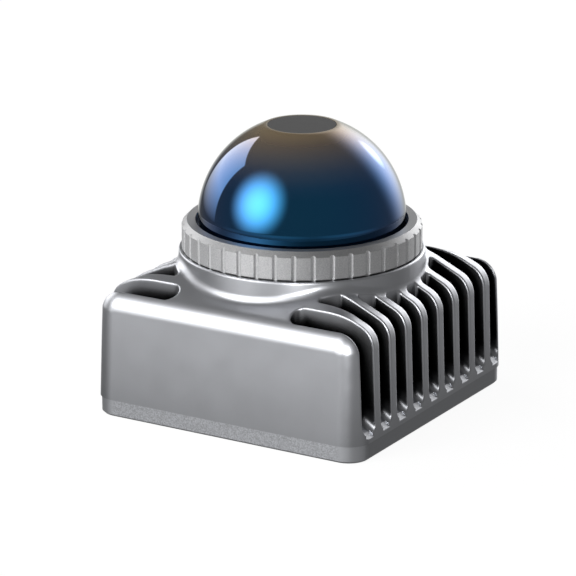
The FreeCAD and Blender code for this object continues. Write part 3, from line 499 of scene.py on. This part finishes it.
FINISHES: dict[str, Finish] = {
    # The cast metal has painted shade in its recesses; the base has painted shade on its flanks, the ring on
    # its top.
    "cast_aluminium": CastMetal(
        "satin_cast_aluminium_painted_shade", (0.615, 0.627, 0.66), 0.36, metallic=1.0, mottle=0.03,
        mottle_size=5.0 * MM, grain_size=0.25 * MM, grain_depth=0.0012 * MM),
    "base_aluminium": BlastedMetal(
        "blasted_base_aluminium_painted_shade", (0.57, 0.582, 0.61), 0.42, metallic=1.0, mottle=0.03,
        grain_depth=0.012 * MM, speckle=0.5, speckle_size=0.28 * MM, flat_half=28.4 * MM),
    "ring_aluminium": BlastedMetal(
        "blasted_ring_aluminium_painted_shade", (0.86, 0.87, 0.90), 0.52, metallic=1.0, mottle=0.03,
        grain_depth=0.006 * MM, speckle=0.3, speckle_size=0.22 * MM, top_painted_shade_level=0.62),
    # The dome's finish has painted light towards the crown.
    "coated_dome": CoatedGlass("coated_dome", (0.0006, 0.0012, 0.0022), 0.03),
    "cap_dark": Finish(
        "dark_cap", (0.082, 0.082, 0.082), 0.75, mottle=0.03,
        mottle_size=2.0 * MM, grain_size=0.2 * MM, grain_depth=0.002 * MM),
    "seal_rubber": Finish("black_rubber", (0.02, 0.02, 0.02), 0.8),
    "screw_steel": TurnedMetal(
        "screw_steel", (0.52, 0.52, 0.53), 0.30, metallic=1.0, grain_depth=0.001 * MM),
    "nickel": TurnedMetal(
        "nickel_plate", (0.62, 0.60, 0.56), 0.24, metallic=1.0, mottle=0.05,
        grain_depth=0.0008 * MM, axis=Axis.REARWARD),
    "insulator": Finish("moulded_insulator", (0.02, 0.02, 0.021), 0.5),
    "contact_gold": TurnedMetal(
        "gold_plate", (0.83, 0.60, 0.24), 0.2, metallic=1.0, mottle=0.04,
        grain_depth=0.0005 * MM, axis=Axis.REARWARD),
    "board_green": SolderMask("solder_mask", (0.010, 0.075, 0.032), 0.28, grain_depth=0.02 * MM),
    "chip_black": Finish(
        "moulded_chip", (0.018, 0.018, 0.020), 0.55, mottle=0.05, mottle_size=1.0 * MM, grain_size=0.08 * MM),
    "pad_grey": Finish("soft_pad", (0.30, 0.37, 0.41), 0.9, grain_depth=0.02 * MM),
    "black_aluminium": Finish(
        "black_anodised", (0.030, 0.030, 0.033), 0.42, metallic=1.0, mottle=0.05, mottle_size=3.0 * MM),
    "lens_glass": ClearGlass("lens_glass", (0.93, 0.95, 1.0), 0.02),
    "mirror_silver": Finish(
        "silvered_mirror", (0.90, 0.91, 0.92), 0.03, metallic=1.0, mottle=0.01,
        mottle_size=6.0 * MM, grain_size=1.0 * MM, grain_depth=0.0001 * MM),
    "motor_steel": TurnedMetal(
        "motor_sheets", (0.36, 0.36, 0.38), 0.42, metallic=1.0, mottle=0.08,
        grain_depth=0.01 * MM, line_pitch=0.35 * MM),
    "copper": TurnedMetal(
        "enamelled_wire", (0.62, 0.26, 0.10), 0.32, metallic=1.0, mottle=0.1,
        grain_depth=0.02 * MM, line_pitch=0.22 * MM),
    "magnet_grey": Finish("plated_magnet", (0.26, 0.26, 0.27), 0.38, metallic=1.0),
    "disc_steel": Finish("etched_disc", (0.46, 0.46, 0.48), 0.3, metallic=1.0),
}


class Wardrobe:
    """Makes each finish once and hands it out by material slot."""

    def __init__(self) -> None:
        """Starts with nothing made."""
        self.made: dict[str, bpy.types.Material] = {}

    def material(self, slot: str) -> bpy.types.Material:
        """Gives a slot's material, made on first use.

        Args:
            slot: the record's material slot.

        Returns:
            The material.
        """
        if slot not in self.made:
            self.made[slot] = FINISHES[slot].build()
        return self.made[slot]

    def dress(self, piece: bpy.types.Object, slot: str) -> None:
        """Puts a slot's material on a piece as its only one."""
        piece.data.materials.clear()
        piece.data.materials.append(self.material(slot))


@dataclass
class Assembly:
    """A group of pieces on one body."""

    wardrobe: Wardrobe
    body: Body = Body.SENSOR

    def add(self, name: str, mesh: bmesh.types.BMesh, slot: str, stands_for: tuple[str, ...],
            crease: float) -> None:
        """Turns a finished bmesh into a dressed piece on the group's body.

        Args:
            name: the piece's name.
            mesh: its shape, in place; it is freed here.
            slot: the record's material slot.
            stands_for: CAD nodes that the piece replaces.
            crease: angle in degrees from which an edge is shaded sharp.
        """
        data = bpy.data.meshes.new(name)
        mesh.to_mesh(data)
        mesh.free()
        data.shade_smooth()
        data.set_sharp_from_angle(angle=math.radians(crease))
        piece = bpy.data.objects.new(name, data)
        bpy.context.scene.collection.objects.link(piece)
        self.wardrobe.dress(piece, slot)
        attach(piece, self.body.value)
        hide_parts(*stands_for)
        log.info("%s: %d faces, stands for %s", name, len(data.polygons), ", ".join(stands_for))

    def spun(self, profile: Profile, steps: int, axis: Axis = Axis.UPRIGHT, offset: float = 0.0,
             turns: float = 1.0, rise: float = 0.0) -> bmesh.types.BMesh:
        """Spins a closed profile round an axis, in a ring or with a rise.

        Args:
            profile: radius and height pairs, in millimetres, in order round the section.
            steps: number of divisions in one turn.
            axis: the axis to spin about.
            offset: height of a rearward axis above the base, in metres.
            turns: number of turns.
            rise: metres gained along the axis in each turn.

        Returns:
            The spun shape, with its faces outwards.
        """
        mesh = bmesh.new()
        points = [mesh.verts.new((radius * MM, 0.0, height * MM)) for radius, height in profile]
        edges = [mesh.edges.new((a, b)) for a, b in zip(points, points[1:] + points[:1])]
        closed = rise == 0.0
        bmesh.ops.spin(mesh, geom=points + edges, cent=(0, 0, 0), axis=(0, 0, 1), dvec=(0, 0, rise / steps),
                       angle=2.0 * math.pi * turns, steps=round(steps * turns), use_merge=closed,
                       use_duplicate=False)
        if not closed:
            ends = [edge for edge in mesh.edges if edge.is_boundary]
            bmesh.ops.holes_fill(mesh, edges=ends, sides=len(profile))
        bmesh.ops.remove_doubles(mesh, verts=mesh.verts, dist=WELD)
        bmesh.ops.dissolve_degenerate(mesh, dist=WELD, edges=mesh.edges)
        bmesh.ops.recalc_face_normals(mesh, faces=mesh.faces)
        if axis is Axis.REARWARD:
            turn = Matrix.Translation((0, 0, offset)) @ Matrix.Rotation(-math.pi / 2.0, 4, "X")
            bmesh.ops.transform(mesh, matrix=turn, verts=mesh.verts)
        return mesh

    def joined(self, parts: list[bmesh.types.BMesh]) -> bmesh.types.BMesh:
        """Puts several shapes into one, and frees them.

        Args:
            parts: shapes that are in place.

        Returns:
            One shape that holds them all.
        """
        whole = bmesh.new()
        for part in parts:
            data = bpy.data.meshes.new("part")
            part.to_mesh(data)
            part.free()
            whole.from_mesh(data)
            bpy.data.meshes.remove(data)
        return whole


@dataclass
class Dome(Assembly):
    """The coated dome with its flange, and the dark disc let into its top; sizes in millimetres."""

    radius: float = 22.06
    wall: float = 1.6
    centre: float = 39.4
    foot: float = DOME_FOOT_MM
    foot_draw: float = 0.22
    foot_lip: float = 0.022
    foot_edge: float = 0.12
    top: float = DOME_TOP_MM
    flange_radius: float = 23.4
    flange_low: float = 35.6
    flange_high: float = 37.2
    disc_radius: float = 7.22
    disc_depth: float = 0.5
    disc_gap: float = 0.05
    disc_edge: float = 0.06
    crease: float = 30.0
    steps: int = 160
    arc_points: int = 40

    def build(self) -> None:
        """Makes the dome and its disc as smooth turned shapes."""
        inner = self.radius - self.wall
        seat = self.top - self.disc_depth
        ceiling = seat - self.wall
        lip = self.disc_radius + self.disc_gap
        shell = self.arc(self.radius, self.foot, self.top)
        waist = shell[0][0]
        drawn = waist - self.foot_draw
        profile = [(inner, self.flange_low), (self.flange_radius, self.flange_low),
                   (self.flange_radius, self.flange_high), (drawn, self.flange_high),
                   (drawn, self.centre), (waist - self.foot_lip, self.foot - self.foot_edge)]
        profile += shell
        profile += [(lip, self.top), (lip, seat), (0.0, seat), (0.0, ceiling)]
        profile += reversed(self.arc(inner, self.centre, ceiling))
        self.add("dome_glass", self.spun(profile, self.steps), "coated_dome", ("dome_window",), self.crease)
        disc = [(0.0, seat), (self.disc_radius, seat), (self.disc_radius, self.top - self.disc_edge),
                (self.disc_radius - self.disc_edge, self.top), (0.0, self.top)]
        self.add("dome_disc", self.spun(disc, self.steps), "cap_dark", ("dome_cap_disc",), self.crease)

    def arc(self, radius: float, low: float, high: float) -> Profile:
        """Gives points up the dome.

        Args:
            radius: radius of the sphere.
            low: height at which the arc starts.
            high: height at which the arc ends.

        Returns:
            Radius and height pairs.
        """
        start, end = (math.asin((height - self.centre) / radius) for height in (low, high))
        pitch = (end - start) / self.arc_points
        angles = [start + pitch * number for number in range(self.arc_points + 1)]
        return [(radius * math.cos(angle), self.centre + radius * math.sin(angle)) for angle in angles]


@dataclass
class PlugSocket(Assembly):
    """The threaded socket on the rear face and its contact pins.

    Sizes are in millimetres. The stub and the step are a radius and a place along the rear axis, the flange
    a radius and two places, and a span two places. The thread's root and flat are shares of its pitch, and
    the pin's tip pairs shares of its radius. A ring of pins is their number and its radius.
    """

    axis_height: float = 15.2
    stub: tuple[float, float] = (5.4, 24.5)
    step: tuple[float, float] = (3.7, 28.0)
    flange: tuple[float, float, float] = (7.8, 32.3, 33.5)
    bore: float = 4.3
    mouth: float = 41.5
    edge: float = 0.2
    thread_core: float = 5.42
    thread_crest: float = 5.98
    thread_pitch: float = 1.0
    thread_root: float = 0.42
    thread_flat: float = 0.1
    thread_from: float = 34.3
    thread_turns: float = 6.5
    key_width: float = 0.8
    key_span: tuple[float, float] = (35.5, 40.7)
    pin_radius: float = 0.38
    pin_span: tuple[float, float] = (22.5, 39.5)
    pin_tip: Pairs = ((1.0, 1.0), (0.87, 0.5), (0.5, 0.13), (0.0, 0.0))
    pin_rings: tuple[tuple[int, float], ...] = ((9, 2.9), (3, 1.15))
    pin_steps: int = 20
    pin_crease: float = 35.0
    shell_steps: int = 72
    shell_crease: float = 28.0

    def build(self) -> None:
        """Makes the threaded shell and the rings of pins."""
        shell = self.joined([self.tube(), self.thread(), self.key()])
        self.add("socket_shell", shell, "nickel", ("connector_shell",), self.shell_crease)
        pins = self.joined(self.pins())
        self.add("socket_pins", pins, "contact_gold", ("connector_pins",), self.pin_crease)

    def tube(self) -> bmesh.types.BMesh:
        """Makes the turned shell without its thread.

        Returns:
            The tube, in place.
        """
        rim, low, high = self.flange
        core, bore, mouth, edge = self.thread_core, self.bore, self.mouth, self.edge
        profile = [(self.step[0], self.stub[1]), self.stub, (self.stub[0], low), (rim, low),
                   (rim, high - edge), (rim - edge, high), (core, high), (core, mouth - edge),
                   (core - edge, mouth), (bore + edge, mouth), (bore, mouth - edge), (bore, self.step[1]),
                   self.step]
        return self.spun(profile, self.shell_steps, Axis.REARWARD, self.axis_height * MM)

    def thread(self) -> bmesh.types.BMesh:
        """Makes the thread as one ridge wound round the core.

        Returns:
            The ridge, in place.
        """
        root, flat = self.thread_root * self.thread_pitch, self.thread_flat * self.thread_pitch
        inner = self.thread_core - self.edge
        section = [(inner, -root), (self.thread_crest, -flat), (self.thread_crest, flat), (inner, root)]
        profile = [(radius, self.thread_from + along) for radius, along in section]
        return self.spun(profile, self.shell_steps, Axis.REARWARD, self.axis_height * MM, self.thread_turns,
                         self.thread_pitch * MM)

    def key(self) -> bmesh.types.BMesh:
        """Makes the rib inside the mouth that keys the plug.

        Returns:
            The rib, in place.
        """
        near, far = self.key_span
        middle = (0.0, (near + far) / 2.0, self.axis_height + self.bore)
        size = (self.key_width, far - near, 2.0 * self.key_width)
        place = Matrix.LocRotScale(Vector(middle) * MM, None, Vector(size) * MM)
        mesh = bmesh.new()
        bmesh.ops.create_cube(mesh, size=1.0, matrix=place)
        return mesh

    def pins(self) -> list[bmesh.types.BMesh]:
        """Makes every pin, with a rounded tip.

        Returns:
            The pins, in place.
        """
        radius, (back, tip) = self.pin_radius, self.pin_span
        profile = [(0.0, back), (radius, back)]
        profile += [(out * radius, tip - behind * radius) for out, behind in self.pin_tip]
        pins = []
        for count, ring in self.pin_rings:
            for number in range(count):
                angle = math.pi / 2.0 + math.pi * (2 * number + 1) / count
                pin = self.spun(profile, self.pin_steps, Axis.REARWARD, self.axis_height * MM)
                place = Vector((ring * math.cos(angle), 0.0, ring * math.sin(angle))) * MM
                bmesh.ops.translate(pin, verts=pin.verts, vec=place)
                pins.append(pin)
        return pins


@dataclass
class CadNodes(Assembly):
    """The CAD nodes, each dressed in its slot's finish."""

    def build(self) -> None:
        """Dresses every CAD node from the record's own list."""
        for row in frame["record"]["subparts"]:
            self.wardrobe.dress(frame["nodes"][row["node"]], row["material_slot"])
            log.info("%s dressed in %s", row["node"], row["material_slot"])


@dataclass(frozen=True)
class Lobe:
    """A round soft lamp, brightest at its middle and gone at its reach; angles in degrees.

    One that has a ceiling shines below that height of the unit sphere only.
    """

    azimuth: float
    elevation: float
    reach: float
    falloff: float
    level: float
    ceiling: float | None = None
    ceiling_edge: float = 0.06


@dataclass(frozen=True)
class Softbox:
    """A flat panel on the left, one length away: its edges, their softness and its level front to rear.

    A ray's depth is how far it goes to the left. Below the shown depth it misses the panel, and the least
    depth keeps its division from blowing up.
    """

    front: float = -0.176
    rear: float = 0.60
    low: float = 0.02
    high: float = 0.81
    side_edge: float = 0.03
    low_edge: float = 0.36
    level: float = 1.85
    level_slope: float = 1.6
    least_depth: float = 0.02
    shown_depth: float = 0.03


@dataclass(frozen=True)
class Kicker:
    """A small lamp near the sensor that lights some of its pieces only."""

    azimuth: float
    height: float
    watts: float
    lights: tuple[str, ...]
    reach: float = 165.0 * MM
    radius: float = 15.0 * MM


@dataclass
class Studio:
    """Pale floor, soft light all round and the camera; the two low lobes stand for the floor's own light."""

    lens_mm: float = 221.41
    sensor_mm: float = 36.0
    azimuth: float = 30.784
    elevation: float = 17.830
    distance: float = 751.898 * MM
    target: tuple[float, float, float] = (0.0, 0.0, 22.715 * MM)
    shift: tuple[float, float] = (-0.02431, 0.01036)
    clip: tuple[float, float] = (0.01, 50.0)
    floor_half: float = 4.0
    floor_drop: float = 0.02 * MM
    floor_colour: Colour = (0.9, 0.9, 0.9)
    floor_white: float = 0.85
    floor_glow: float = 1.09
    room_level: float = 0.155
    backdrop_reach: float = 28.0
    lobes: tuple[Lobe, ...] = (
        Lobe(azimuth=-25.6, elevation=24.2, reach=38.0, falloff=2.3, level=5.7),
        Lobe(azimuth=179.0, elevation=14.0, reach=48.0, falloff=3.5, level=3.0),
        Lobe(azimuth=176.0, elevation=17.0, reach=9.0, falloff=1.0, level=3.0),
        Lobe(azimuth=-12.0, elevation=-22.0, reach=55.0, falloff=1.2, level=0.235, ceiling=-0.13),
        Lobe(azimuth=82.0, elevation=-20.0, reach=42.0, falloff=1.2, level=0.15, ceiling=-0.13))
    softbox: Softbox = Softbox()
    kickers: tuple[Kicker, ...] = (
        Kicker(azimuth=186.0, height=140.0 * MM, watts=0.13, lights=("housing",)),
        Kicker(azimuth=27.0, height=60.0 * MM, watts=0.42, lights=("housing", "base_plate")),
        Kicker(azimuth=16.0, height=48.0 * MM, watts=0.04, lights=("lock_ring",)))

    def direction(self, azimuth: float, elevation: float) -> Vector:
        """Gives the unit vector towards an azimuth, counted from the front to the right, and an elevation."""
        turn, rise = math.radians(azimuth), math.radians(elevation)
        return Vector((math.sin(turn) * math.cos(rise), -math.cos(turn) * math.cos(rise), math.sin(rise)))

    def build(self) -> None:
        """Makes the floor, the light and the camera."""
        bpy.context.scene.view_settings.view_transform = "Standard"
        self.make_floor()
        self.make_light()
        for kicker in self.kickers:
            self.make_kicker(kicker)
        self.make_camera()

    def make_floor(self) -> None:
        """Lays a pale floor that keeps the sensor's shadow and looks near white to the camera."""
        mesh = bmesh.new()
        bmesh.ops.create_grid(mesh, x_segments=1, y_segments=1, size=self.floor_half)
        data = bpy.data.meshes.new("floor")
        mesh.to_mesh(data)
        mesh.free()
        floor = bpy.data.objects.new("floor", data)
        floor.location.z = -self.floor_drop
        bpy.context.scene.collection.objects.link(floor)
        material = bpy.data.materials.new("pale_floor")
        material.use_nodes = True
        graph = Graph(material.node_tree)
        path = graph.add("LightPath").outputs
        seen = graph.math("MAXIMUM", path["Is Camera Ray"], path["Is Transmission Ray"])
        paint = graph.add("BsdfDiffuse", {"Color": (*self.floor_colour, 1.0)}).outputs["BSDF"]
        glow = graph.add("Emission", {"Color": (*WHITE, 1.0), "Strength": self.floor_glow})
        share = graph.math("MULTIPLY", seen, self.floor_white)
        surface = graph.blend(share, paint, glow.outputs["Emission"])
        graph.add("OutputMaterial", {"Surface": surface})
        data.materials.append(material)
        floor.visible_glossy = False

    def make_light(self) -> None:
        """Builds the surrounding light: an even room, round lamps, one softbox and a white backdrop.

        The camera sees white all round; metal and glass see it where it stands behind the sensor.
        """
        world = bpy.data.worlds.new("studio")
        bpy.context.scene.world = world
        world.use_nodes = True
        graph = Graph(world.node_tree)
        ray = graph.add("TexCoord").outputs["Generated"]
        level = graph.math("ADD", self.panel(graph, ray, self.softbox), self.room_level)
        for lobe in self.lobes:
            level = graph.math("ADD", level, self.glow(graph, ray, lobe))
        path = graph.add("LightPath").outputs
        mirrored = graph.math("MAXIMUM", path["Is Glossy Ray"], path["Is Transmission Ray"])
        backdrop = Lobe(self.azimuth + 180.0, -self.elevation, self.backdrop_reach, falloff=1.0, level=1.0)
        behind = graph.math("MULTIPLY", mirrored, self.glow(graph, ray, backdrop))
        seen = graph.math("MAXIMUM", path["Is Camera Ray"], behind)
        unseen = graph.math("SUBTRACT", 1.0, seen)
        strength = graph.math("ADD", seen, graph.math("MULTIPLY", level, unseen))
        back = graph.add("Background", {"Color": (*WHITE, 1.0), "Strength": strength})
        graph.add("OutputWorld", {"Surface": back.outputs["Background"]})

    def glow(self, graph: Graph, ray: Socket, lobe: Lobe) -> Socket:
        """Gives one round lamp.

        Args:
            graph: the world's nodes.
            ray: direction of the ray.
            lobe: the lamp.

        Returns:
            The level's socket.
        """
        towards = self.direction(lobe.azimuth, lobe.elevation)
        cosine = graph.add("VectorMath", {0: ray, 1: towards}, operation="DOT_PRODUCT").outputs["Value"]
        share = graph.fade(cosine, math.cos(math.radians(lobe.reach)), 1.0)
        level = graph.math("MULTIPLY", graph.math("POWER", share, lobe.falloff), lobe.level)
        if lobe.ceiling is None:
            return level
        height = graph.add("SeparateXYZ", {"Vector": ray}).outputs["Z"]
        below = graph.fade(height, lobe.ceiling, lobe.ceiling - lobe.ceiling_edge)
        return graph.math("MULTIPLY", level, below)

    def panel(self, graph: Graph, ray: Socket, box: Softbox) -> Socket:
        """Gives the softbox.

        Args:
            graph: the world's nodes.
            ray: direction of the ray.
            box: the panel.

        Returns:
            The level's socket.
        """
        axes = graph.add("SeparateXYZ", {"Vector": ray}).outputs
        depth = graph.math("MULTIPLY", axes["X"], -1.0)
        reach = graph.math("MAXIMUM", depth, box.least_depth)
        along = graph.math("DIVIDE", axes["Y"], reach)
        height = graph.math("DIVIDE", axes["Z"], reach)
        share = graph.math("GREATER_THAN", depth, box.shown_depth)
        for place, limit, edge in ((along, box.front, box.side_edge), (along, box.rear, -box.side_edge),
                                   (height, box.low, box.low_edge), (height, box.high, -box.side_edge)):
            into = graph.fade(place, limit - edge / 2.0, limit + edge / 2.0)
            share = graph.math("MULTIPLY", share, into)
        return graph.math("MULTIPLY", share, graph.math("MULTIPLY_ADD", along, box.level_slope, box.level))

    def make_kicker(self, kicker: Kicker) -> None:
        """Adds a small lamp that lights the named pieces only.

        Args:
            kicker: the lamp.
        """
        data = bpy.data.lights.new("kicker", "POINT")
        data.energy = kicker.watts
        data.shadow_soft_size = kicker.radius
        lamp = bpy.data.objects.new("kicker", data)
        foot = self.direction(kicker.azimuth, 0.0) * kicker.reach
        lamp.location = foot + Vector((0.0, 0.0, kicker.height))
        bpy.context.scene.collection.objects.link(lamp)
        lit = bpy.data.collections.new("kicker_lights")
        for name in kicker.lights:
            lit.objects.link(frame["nodes"][name])
        lamp.light_linking.receiver_collection = lit

    def make_camera(self) -> None:
        """Sets the camera at the photo's angle."""
        back = self.direction(self.azimuth, self.elevation)
        data = bpy.data.cameras.new("camera")
        data.lens = self.lens_mm
        data.sensor_width = self.sensor_mm
        data.shift_x, data.shift_y = self.shift
        data.clip_start, data.clip_end = self.clip
        camera = bpy.data.objects.new("camera", data)
        camera.rotation_mode = "QUATERNION"
        camera.location = Vector(self.target) + back * self.distance
        camera.rotation_quaternion = (-back).to_track_quat("-Z", "Y")
        bpy.context.scene.collection.objects.link(camera)
        bpy.context.scene.camera = camera


def main() -> None:
    """Builds every group in order."""
    logging.basicConfig(level=logging.INFO, format="%(message)s")
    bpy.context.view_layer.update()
    wardrobe = Wardrobe()
    CadNodes(wardrobe).build()
    Dome(wardrobe).build()
    PlugSocket(wardrobe).build()
    Studio().build()


if __name__ == "__main__":
    main()
